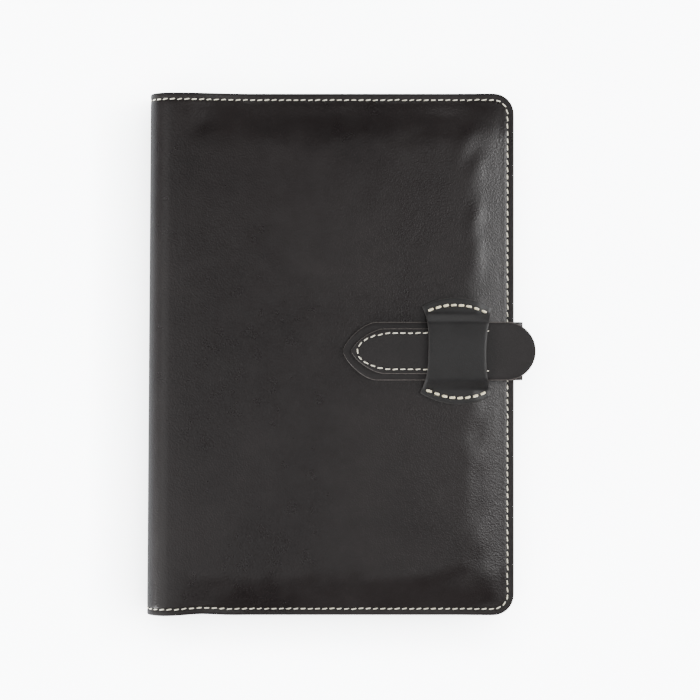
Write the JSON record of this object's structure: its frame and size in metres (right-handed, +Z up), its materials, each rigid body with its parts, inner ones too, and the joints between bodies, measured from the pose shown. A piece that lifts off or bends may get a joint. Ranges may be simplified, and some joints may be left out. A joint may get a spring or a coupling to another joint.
{
  "type": "leather notebook cover",
  "caption": "Padded leather notebook cover with a wrap-round strap that slides under an hourglass keeper, inner pockets and a removable notebook.",
  "frame": {"origin": "centre of the back cover's outside face, which lies on the table", "axes": "+X from the spine to the fore edge, +Y along the spine to the head, +Z up through the front cover"},
  "size_m": [0.1672, 0.2264, 0.0266],
  "materials": {
    "cover_leather": "smooth semi-gloss cowhide, dyed through, fine grain",
    "pocket_leather": "thin matt leather",
    "lining_fabric": "plain woven lining",
    "seam_thread": "waxed linen thread",
    "keeper_thread": "thick waxed linen thread",
    "board": "foam-faced grey board",
    "card": "coated card",
    "paper": "uncoated cream paper"
  },
  "bodies": {
    "back": {"back_leather": "cover_leather", "back_board": "board", "back_lining": "lining_fabric", "back_pocket": "pocket_leather", "back_thread": "seam_thread", "strap_root": "cover_leather", "refill_back_card": "card", "refill_back_leaves": "paper"},
    "spine": {"spine_leather": "cover_leather", "spine_lining": "lining_fabric", "spine_thread": "seam_thread"},
    "front": {"front_leather": "cover_leather", "front_board": "board", "front_lining": "lining_fabric", "front_pocket": "pocket_leather", "front_thread": "seam_thread", "keeper": "cover_leather", "keeper_thread_top": "keeper_thread", "keeper_thread_bottom": "keeper_thread"},
    "leaves": {"refill_front_leaves": "paper", "refill_front_card": "card"},
    "strap_side": {"strap_side": "cover_leather"},
    "strap_tongue": {"strap_tongue": "cover_leather", "pull_tab": "cover_leather", "strap_thread": "seam_thread"}
  },
  "joints": [
    {"name": "spine_hinge", "type": "hinge", "parent": "back", "child": "spine", "pos_m": [-0.07661, 0, 0.00259], "axis": [0, -1, 0], "range_deg": [0, 90], "deforming": ["spine_leather", "spine_lining", "spine_thread"]},
    {"name": "front_hinge", "type": "hinge", "parent": "spine", "child": "front", "pos_m": [-0.07661, 0, 0.01941], "axis": [0, -1, 0], "range_deg": [0, 90]},
    {"name": "page_turn", "type": "hinge", "parent": "back", "child": "leaves", "pos_m": [-0.07195, 0, 0.011], "axis": [0, -1, 0], "range_deg": [0, 180]},
    {"name": "strap_low_bend", "type": "hinge", "parent": "back", "child": "strap_side", "pos_m": [0.08161, 0.0014, 0.00264], "axis": [0, 1, 0], "range_deg": [0, 90], "deforming": ["strap_side"]},
    {"name": "strap_top_bend", "type": "hinge", "parent": "strap_side", "child": "strap_tongue", "pos_m": [0.08161, 0.0014, 0.02241], "axis": [0, 1, 0], "range_deg": [0, 90]}
  ],
  "couplings": [
    {"joint": "spine_hinge", "follows": "front_hinge", "ratio": 1},
    {"joint": "page_turn", "follows": "front_hinge", "ratio": 2},
    {"joint": "strap_low_bend", "follows": "strap_top_bend", "ratio": 1}
  ]
}
